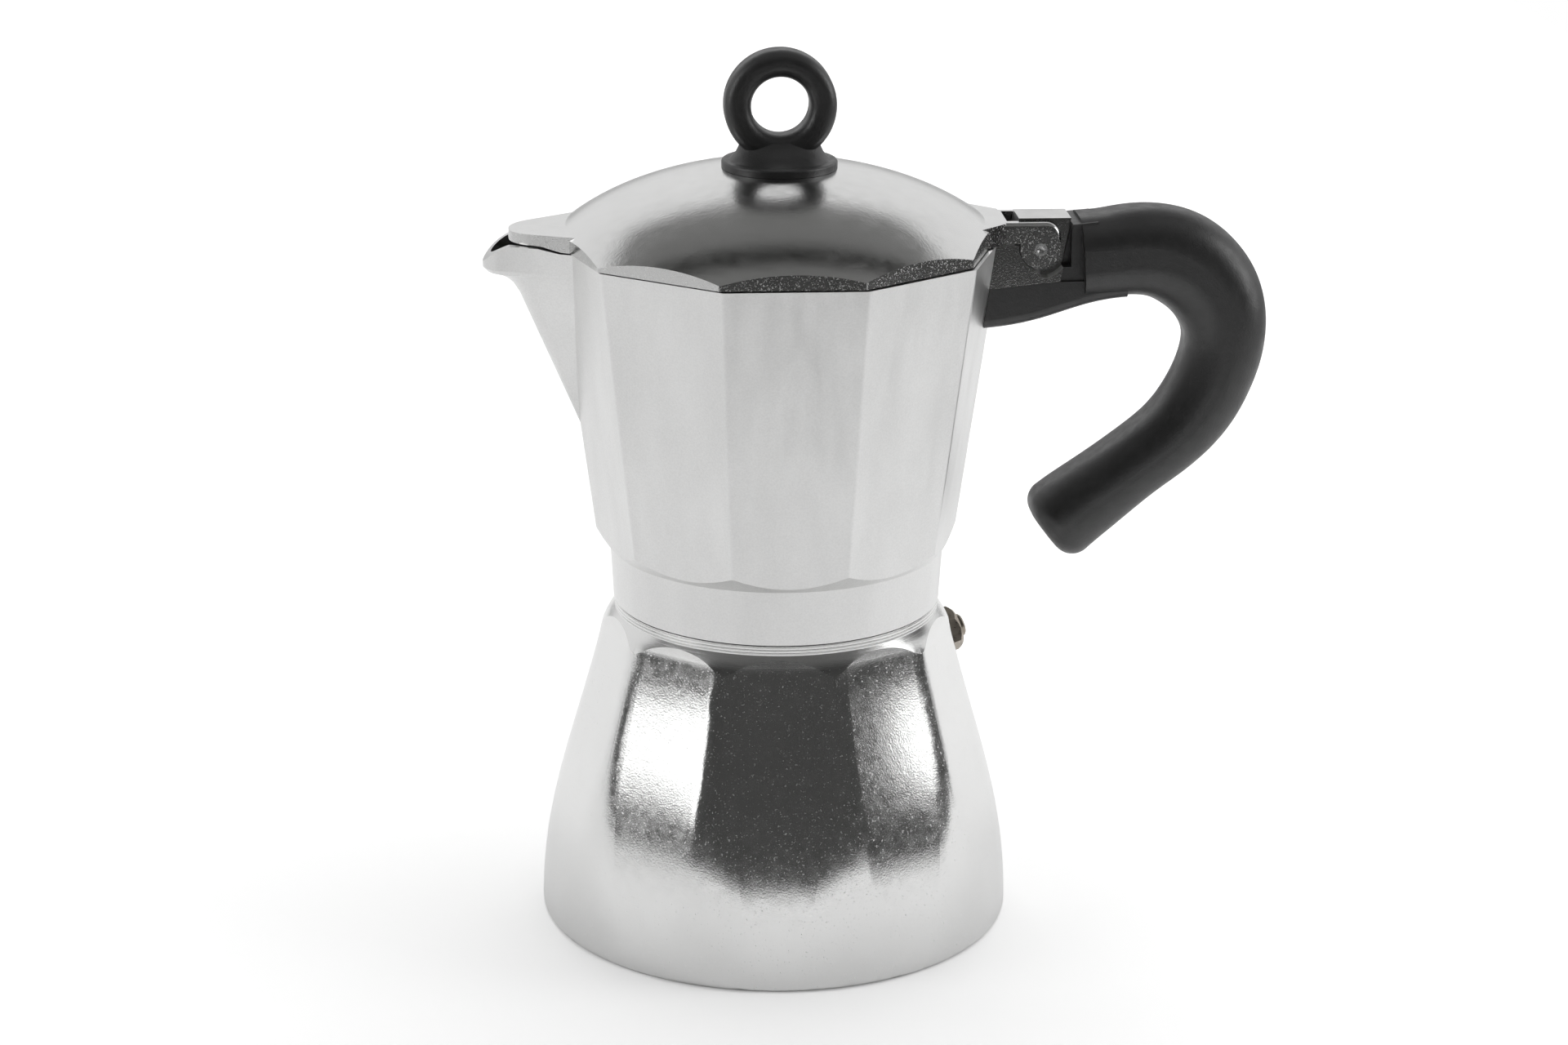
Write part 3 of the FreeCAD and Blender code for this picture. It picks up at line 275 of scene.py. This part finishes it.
class Finish(Graph):
    """A material under construction, with its shader, the piece's coordinates and the relief so far."""

    def __init__(self, name, metal=True):
        self.material = bpy.data.materials.new(name)
        self.material.use_nodes = True
        super().__init__(self.material.node_tree)
        self.shader = self.tree.nodes["Principled BSDF"]
        self.shader.inputs["Metallic"].default_value = float(metal)
        self.coordinates = self.add("ShaderNodeTexCoord").outputs
        self.relief = None

    def place(self):
        """X, Y and Z of a point on the piece."""
        return self.split(self.coordinates["Object"])

    def facing(self):
        """X, Y and Z of the direction in which the piece's surface looks."""
        return self.split(self.coordinates["Normal"])

    def grain(self, scale, detail, stretch=None, rough=0.5):
        """Noise over the piece; stretch multiplies the place along each axis first."""
        noise = self.add("ShaderNodeTexNoise")
        for key, number in (("Scale", scale), ("Detail", detail), ("Roughness", rough)):
            noise.inputs[key].default_value = number
        place = self.coordinates["Object"]
        if stretch:
            mapping = self.add("ShaderNodeMapping")
            mapping.inputs["Scale"].default_value = stretch
            self.feed(place, mapping.inputs["Vector"])
            place = mapping.outputs["Vector"]
        self.feed(place, noise.inputs["Vector"])
        return noise.outputs["Fac"]

    def haze(self, scale, low, high, stretch=None):
        """Roughness that wanders between low and high."""
        return self.spread(self.grain(scale, detail=3, stretch=stretch), GRAIN_LOW, GRAIN_HIGH, low, high)

    def turned_lines(self):
        """Fine lines round the axis that a lathe leaves."""
        return self.grain(scale=1, detail=3, stretch=(0, 0, LATHE_LINES), rough=0.7)

    def off_facet_middle(self):
        """Square of the angle from the middle line of the nearest facet round the upright axis."""
        place = self.place()
        angle = self.maths("SUBTRACT", self.maths("ARCTAN2", place["Y"], place["X"]), FACET_TURN)
        half = math.pi / FACET_COUNT
        off = self.maths("WRAP", angle, half, -half)
        return self.maths("MULTIPLY", off, off)

    def sides_beyond(self, reach):
        """1 on the faces that look to the side and stand further out along X than reach, 0 elsewhere."""
        across = self.facing()["Y"]
        side = self.maths("GREATER_THAN", self.maths("MULTIPLY", across, across), SIDE_FACING)
        return self.maths("MULTIPLY", side, self.maths("GREATER_THAN", self.place()["X"], reach))

    def sanded(self, edges):
        """Grain of belt-sanded faces, the specks in it between two edges, and the roughness of both."""
        speckle = self.grain(scale=2800, detail=3, rough=0.65)
        specks = self.spread(speckle, *edges)
        return speckle, specks, self.blend(specks, SANDED_GLOSS, SANDED_SPECK_GLOSS)

    def rest(self, share):
        """What a share leaves of 1."""
        return self.maths("SUBTRACT", 1.0, share)

    def blend(self, share, first, second):
        """Number that goes from first to second with share."""
        mix = self.add("ShaderNodeMix")
        for socket, value in zip((mix.inputs[0], mix.inputs[2], mix.inputs[3]), (share, first, second)):
            self.feed(value, socket)
        return mix.outputs[0]

    def tint(self, share, colour, low, high):
        """Colour of the piece, from low to high times colour with share."""
        mix = self.add("ShaderNodeMix", data_type="RGBA")
        for socket, level in ((mix.inputs[6], low), (mix.inputs[7], high)):
            socket.default_value = [min(1.0, part * level) for part in colour] + [1.0]
        self.feed(share, mix.inputs[0])
        self.feed(mix.outputs[2], self.shader.inputs["Base Color"])

    def roughness(self, value):
        """Roughness of the piece."""
        self.feed(value, self.shader.inputs["Roughness"])

    def bump(self, height, distance, where=1.0):
        """Relief over the relief so far: height times distance, as strong as where says."""
        bump = self.add("ShaderNodeBump")
        bump.inputs["Distance"].default_value = distance
        self.feed(where, bump.inputs["Strength"])
        self.feed(height, bump.inputs["Height"])
        if self.relief is not None:
            self.feed(self.relief, bump.inputs["Normal"])
        self.relief = bump.outputs["Normal"]
        self.feed(self.relief, self.shader.inputs["Normal"])

    def put_on(self, *nodes):
        """Gives the finish to the named pieces."""
        for name in nodes:
            slots = POT[name].data.materials
            slots.clear()
            slots.append(self.material)


class DressBoiler(bpy.types.Operator):
    """Polished, slightly crowned facets with a fine cast skin, and a turned shoulder and neck."""

    bl_idname = "moka.dress_boiler"
    bl_label = "Dress the boiler"

    def execute(self, context):
        look = context.scene.pot_finishes
        finish = Finish("polished_boiler")
        turned = finish.spread(finish.place()["Z"], SHOULDER_START, SHOULDER_FULL)
        faceted = finish.rest(turned)
        finish.tint(finish.grain(scale=70, detail=3), look.polished_colour, low=0.95, high=1.02)
        haze = finish.haze(scale=420, low=look.boiler_gloss - 0.02, high=look.boiler_gloss + 0.04)
        specks = finish.spread(finish.grain(scale=2000, detail=3, rough=0.65), *BOILER_SPECKS)
        cast = finish.blend(specks, haze, BOILER_SPECK_GLOSS)
        finish.roughness(finish.blend(turned, cast, SHOULDER_GLOSS))
        crown = finish.maths("SUBTRACT", 0.0, finish.off_facet_middle())
        finish.bump(crown, FACET_CROWN, faceted)
        finish.bump(finish.grain(scale=500, detail=2), 6 * MICRON, faceted)
        finish.bump(finish.grain(scale=2600, detail=2), 10 * MICRON, faceted)
        finish.bump(finish.turned_lines(), 20 * MICRON, turned)
        finish.put_on("boiler")
        return {"FINISHED"}


class DressCollector(bpy.types.Operator):
    """Satin facets with fine upright brushing, a sanded bracket whose colour is darkened between the specks
    as painted shade, and a turned collar.
    """

    bl_idname = "moka.dress_collector"
    bl_label = "Dress the collector"

    def execute(self, context):
        look = context.scene.pot_finishes
        finish = Finish("satin_collector")
        turned = finish.spread(finish.place()["Z"], COLLAR_FULL, COLLAR_END, 1.0, 0.0)
        brushed = finish.rest(turned)
        bracket = finish.sides_beyond(BRACKET_START)
        speckle, specks, sanded_gloss = finish.sanded(BRACKET_SPECKS)
        streaks = finish.grain(scale=90, detail=4, stretch=(1, 1, 0.35))
        patches = finish.maths("ADD", streaks, finish.grain(scale=2600, detail=2))
        satin = finish.spread(patches, low=0.7, high=1.3, out_low=0.78)
        # On the bracket the colour drops to 0.55 of the satin between the sanded specks, which is painted
        # shade; the specks keep the metal's colour.
        finish.tint(finish.blend(bracket, satin, specks), look.satin_colour, low=0.55, high=1.03)
        haze = finish.haze(scale=300, low=look.satin_gloss - 0.04, high=look.satin_gloss + 0.05,
                           stretch=(1, 1, 0.2))
        plain_gloss = finish.blend(turned, haze, COLLAR_GLOSS)
        finish.roughness(finish.blend(bracket, plain_gloss, sanded_gloss))
        finish.bump(speckle, 5 * MICRON, bracket)
        finish.bump(finish.grain(scale=1800, detail=3, stretch=(1, 1, 0.06)), 12 * MICRON, brushed)
        finish.bump(finish.grain(scale=2600, detail=2), 20 * MICRON, brushed)
        finish.bump(finish.turned_lines(), 20 * MICRON, turned)
        finish.put_on("collector")
        return {"FINISHED"}


class DressLid(bpy.types.Operator):
    """Polished dome with a sanded rim whose colour is darkened between the specks as painted shade."""

    bl_idname = "moka.dress_lid"
    bl_label = "Dress the lid"

    def execute(self, context):
        look = context.scene.pot_finishes
        finish = Finish("polished_lid")
        upright = finish.facing()["Z"]
        level = finish.maths("MULTIPLY", upright, upright)
        rim = finish.spread(level, RIM_FACING_FULL, RIM_FACING_END, 1.0, 0.0)
        speckle, specks, sanded_gloss = finish.sanded(RIM_SPECKS)
        dome = finish.spread(finish.grain(scale=70, detail=3), low=0.0, high=1.0, out_low=0.7)
        # On the rim the colour drops to 0.72 between the sanded specks, which is painted shade; the specks
        # keep the metal's colour.
        finish.tint(finish.blend(rim, dome, specks), look.polished_colour, low=0.72, high=1.02)
        haze = finish.haze(scale=350, low=look.lid_gloss - 0.03, high=look.lid_gloss + 0.04)
        finish.roughness(finish.blend(rim, haze, sanded_gloss))
        finish.bump(finish.grain(scale=1500, detail=2), 20 * MICRON, finish.rest(rim))
        finish.bump(speckle, 5 * MICRON, rim)
        finish.put_on("lid")
        return {"FINISHED"}


class DressMouldings(bpy.types.Operator):
    """Black moulded handle and knob with a fine spark texture."""

    bl_idname = "moka.dress_mouldings"
    bl_label = "Dress the handle and the knob"

    def execute(self, context):
        look = context.scene.pot_finishes
        finish = Finish("black_mouldings", metal=False)
        finish.shader.inputs["Specular IOR Level"].default_value = MOULDING_SHEEN
        finish.tint(finish.grain(scale=120, detail=4), look.moulding_colour, low=0.8, high=1.35)
        haze = finish.haze(scale=500, low=look.moulding_gloss - 0.05, high=look.moulding_gloss + 0.07)
        finish.roughness(haze)
        finish.bump(finish.grain(scale=900, detail=3), 30 * MICRON)
        finish.bump(finish.grain(scale=2600, detail=2), 40 * MICRON)
        finish.put_on("handle", "lid_knob")
        return {"FINISHED"}


class DressValve(bpy.types.Operator):
    """Washed brass of the safety valve, a little stained."""

    bl_idname = "moka.dress_valve"
    bl_label = "Dress the safety valve"

    def execute(self, context):
        look = context.scene.pot_finishes
        finish = Finish("washed_brass")
        finish.tint(finish.grain(scale=300, detail=4), look.valve_colour, low=0.72, high=1.1)
        finish.roughness(finish.haze(scale=900, low=0.24, high=0.38))
        finish.bump(finish.grain(scale=1600, detail=3), 20 * MICRON)
        finish.put_on("valve_body", "valve_cap", "valve_pin")
        return {"FINISHED"}


class DressFunnel(bpy.types.Operator):
    """Pressed and drawn sheet of the funnel and the filter plates."""

    bl_idname = "moka.dress_funnel"
    bl_label = "Dress the funnel and the filter plates"

    def execute(self, context):
        look = context.scene.pot_finishes
        finish = Finish("pressed_sheet")
        finish.tint(finish.grain(scale=110, detail=4), look.sheet_colour, low=0.9, high=1.05)
        finish.roughness(finish.haze(scale=400, low=0.24, high=0.36))
        finish.bump(finish.turned_lines(), 10 * MICRON)
        finish.bump(finish.grain(scale=2200, detail=2), 10 * MICRON)
        finish.put_on("funnel_basket", "funnel_tube", "funnel_filter", "filter_plate")
        return {"FINISHED"}


class DressGasket(bpy.types.Operator):
    """Matt pale rubber of the sealing ring."""

    bl_idname = "moka.dress_gasket"
    bl_label = "Dress the sealing ring"

    def execute(self, context):
        look = context.scene.pot_finishes
        finish = Finish("seal_rubber", metal=False)
        finish.tint(finish.grain(scale=200, detail=4), look.rubber_colour, low=0.85, high=1.08)
        finish.roughness(finish.haze(scale=700, low=0.55, high=0.7))
        finish.bump(finish.grain(scale=2500, detail=3), 30 * MICRON)
        finish.put_on("gasket")
        return {"FINISHED"}


class DressFasteners(bpy.types.Operator):
    """Bright steel of the hinge pin, the screws and the valve's spring."""

    bl_idname = "moka.dress_fasteners"
    bl_label = "Dress the pin, the screws and the spring"

    def execute(self, context):
        look = context.scene.pot_finishes
        finish = Finish("bright_steel")
        finish.tint(finish.grain(scale=400, detail=3), look.steel_colour, low=0.88, high=1.06)
        finish.roughness(finish.haze(scale=900, low=0.22, high=0.34))
        finish.bump(finish.grain(scale=3000, detail=3), 10 * MICRON)
        finish.put_on("hinge_pin", "handle_screw", "knob_screw", "valve_spring")
        return {"FINISHED"}


def sheet_object(name, points, faces):
    """Stage object made of flat faces."""
    mesh = bpy.data.meshes.new(name)
    mesh.from_pydata(points, [], faces)
    mesh.update()
    sheet = bpy.data.objects.new(name, mesh)
    bpy.context.scene.collection.objects.link(sheet)
    return sheet


def pale_floor(stage):
    """Floor with turned-up front and left edges, whiter to the camera and in the metal."""
    left, right, front = -stage.floor_left, stage.floor_right, -stage.floor_front
    corners = ((right, front), (left, front), (left, FLOOR_BACK), (right, FLOOR_BACK))
    points = [(x, y, 0.0) for x, y in corners] + [(x, y, stage.floor_lip) for x, y in corners[:3]]
    flat, front_lip, left_lip = (0, 1, 2, 3), (0, 1, 5, 4), (1, 2, 6, 5)
    floor = sheet_object("floor", points, [flat, front_lip, left_lip])
    material = bpy.data.materials.new("pale_floor")
    material.use_nodes = True
    graph = Graph(material.node_tree)
    graph.tree.nodes.clear()
    paint = graph.add("ShaderNodeBsdfDiffuse")
    paint.inputs["Color"].default_value = [*stage.floor_colour, 1]
    path = graph.add("ShaderNodeLightPath").outputs
    metal = graph.maths("MAXIMUM", path["Is Glossy Ray"], path["Is Transmission Ray"])
    shine = graph.maths("MULTIPLY", metal, stage.floor_shine)
    glow = graph.add("ShaderNodeEmission")
    white = graph.maths("MULTIPLY_ADD", path["Is Camera Ray"], stage.floor_glow, shine)
    graph.feed(white, glow.inputs["Strength"])
    both = graph.add("ShaderNodeAddShader")
    graph.feed(paint.outputs["BSDF"], both.inputs[0])
    graph.feed(glow.outputs["Emission"], both.inputs[1])
    out = graph.add("ShaderNodeOutputMaterial")
    graph.feed(both.outputs["Shader"], out.inputs["Surface"])
    floor.data.materials.append(material)


def dim_room(stage):
    """Dim wall round the front of the pot and dim ceiling above it, hidden from the camera."""
    reach, high, back = stage.room_reach, stage.room_height, stage.room_back
    turns = [math.radians(degrees) for degrees in WALL_DEGREES]
    arc = [(reach * math.sin(turn), -reach * math.cos(turn)) for turn in turns]
    side, rear = CEILING_SIDE_SHARE * back, CEILING_REAR_SHARE * reach
    corners = [(reach, side), (rear, back), (-rear, back), (-reach, side)]
    points = [(x, y, WALL_LOW) for x, y in arc] + [(x, y, high) for x, y in arc + corners]
    count = len(arc)
    faces = [(i, i + 1, count + i + 1, count + i) for i in range(count - 1)]
    faces.append(tuple(range(count, len(points))))
    room = sheet_object("dim_room", points, faces)
    room.visible_camera = False
    for name, colour in (("dim_wall", stage.wall_colour), ("dim_ceiling", stage.ceiling_colour)):
        material = bpy.data.materials.new(name)
        material.use_nodes = True
        shader = material.node_tree.nodes["Principled BSDF"]
        shader.inputs["Base Color"].default_value = [*colour, 1]
        shader.inputs["Roughness"].default_value = WALL_ROUGHNESS
        room.data.materials.append(material)
    ceiling = room.data.polygons[-1]
    ceiling.material_index = room.data.materials.find("dim_ceiling")


def white_room(stage, scene):
    """White all round to the camera, with a grey ground beyond the floor for the metal."""
    world = bpy.data.worlds.new("white_room")
    scene.world = world
    world.use_nodes = True
    graph = Graph(world.node_tree)
    sky = graph.tree.nodes["Background"]
    sky.inputs["Color"].default_value = (1, 1, 1, 1)
    direction = graph.split(graph.add("ShaderNodeTexCoord").outputs["Generated"])
    ground = GROUND_SHARE * stage.sky_level
    rise = graph.spread(direction["Z"], HORIZON_LOW, HORIZON_HIGH, ground, stage.sky_level)
    path = graph.add("ShaderNodeLightPath").outputs
    seen = graph.maths("MAXIMUM", path["Is Camera Ray"], path["Is Transmission Ray"])
    graph.feed(graph.maths("MAXIMUM", seen, rise), sky.inputs["Strength"])


def lamp(name, place, aim, size, power):
    """Flat lamp that shines from place towards aim and is hidden from the camera."""
    light = bpy.data.lights.new(name, "AREA")
    light.shape = "RECTANGLE"
    light.size, light.size_y = size
    light.energy = power
    holder = bpy.data.objects.new(name, light)
    bpy.context.scene.collection.objects.link(holder)
    holder.location = place
    holder.rotation_euler = (Vector(aim) - Vector(place)).to_track_quat("-Z", "Y").to_euler()
    holder.visible_camera = False
    return holder


def photo_camera(stage, scene):
    """Camera at its place, turned, dipped and rolled."""
    lens = bpy.data.cameras.new("camera")
    lens.lens = stage.lens
    lens.sensor_width = SENSOR_WIDTH
    lens.clip_start = CLIP_START
    holder = bpy.data.objects.new("camera", lens)
    scene.collection.objects.link(holder)
    turn = Matrix.Rotation(stage.camera_turn, 4, "Z")
    dip = Matrix.Rotation(math.pi / 2 - stage.camera_dip, 4, "X")
    roll = Matrix.Rotation(stage.camera_roll, 4, "Z")
    holder.matrix_world = Matrix.Translation(stage.camera_place) @ turn @ dip @ roll
    scene.camera = holder


class SetStage(bpy.types.Operator):
    """Pale floor, white room with a dim front, side lamps, a soft fill and the camera."""

    bl_idname = "moka.set_stage"
    bl_label = "Set the stage"

    def execute(self, context):
        scene = context.scene
        stage = scene.pot_stage
        scene.view_settings.view_transform = "Standard"
        white_room(stage, scene)
        pale_floor(stage)
        dim_room(stage)
        for name, turn, low, share in (("left_lamp", stage.left_turn, stage.left_low, 1.0),
                                       ("right_lamp", stage.right_turn, stage.right_low, RIGHT_LAMP_SHARE)):
            middle = low + LAMP_HEIGHT / 2
            place = (LAMP_DISTANCE * math.sin(turn), -LAMP_DISTANCE * math.cos(turn), middle)
            lamp(name, place, (0, 0, middle), (stage.lamp_width, LAMP_HEIGHT), share * stage.lamp_power)
        x, y = FILL_PLACE
        fill = lamp("top_fill", (x, y, stage.room_height - FILL_DROP), (x, y, 0), FILL_SIZE, stage.fill_power)
        fill.visible_glossy = False
        photo_camera(stage, scene)
        return {"FINISHED"}


STEPS = (DressBoiler, DressCollector, DressLid, DressMouldings, DressValve, DressFunnel, DressGasket,
         DressFasteners, SetStage)


class MokaPotPanel(bpy.types.Panel):
    """The pot's finishes and its stage."""

    bl_idname = "VIEW3D_PT_moka_pot"
    bl_label = "Moka pot"
    bl_space_type = "VIEW_3D"
    bl_region_type = "UI"
    bl_category = "Moka pot"

    def draw(self, context):
        for step in STEPS:
            self.layout.operator(step.bl_idname)
        for group in (context.scene.pot_finishes, context.scene.pot_stage):
            box = self.layout.box()
            for name in group.__annotations__:
                box.prop(group, name)


CLASSES = (PotFinishes, PotStage, *STEPS, MokaPotPanel)


def register():
    for part in CLASSES:
        bpy.utils.register_class(part)
    bpy.types.Scene.pot_finishes = bpy.props.PointerProperty(type=PotFinishes)
    bpy.types.Scene.pot_stage = bpy.props.PointerProperty(type=PotStage)


def unregister():
    del bpy.types.Scene.pot_stage
    del bpy.types.Scene.pot_finishes
    for part in reversed(CLASSES):
        bpy.utils.unregister_class(part)


def main():
    register()
    bpy.ops.moka.dress_boiler()
    bpy.ops.moka.dress_collector()
    bpy.ops.moka.dress_lid()
    bpy.ops.moka.dress_mouldings()
    bpy.ops.moka.dress_valve()
    bpy.ops.moka.dress_funnel()
    bpy.ops.moka.dress_gasket()
    bpy.ops.moka.dress_fasteners()
    bpy.ops.moka.set_stage()
    bpy.context.view_layer.update()


if __name__ == "__main__":
    main()
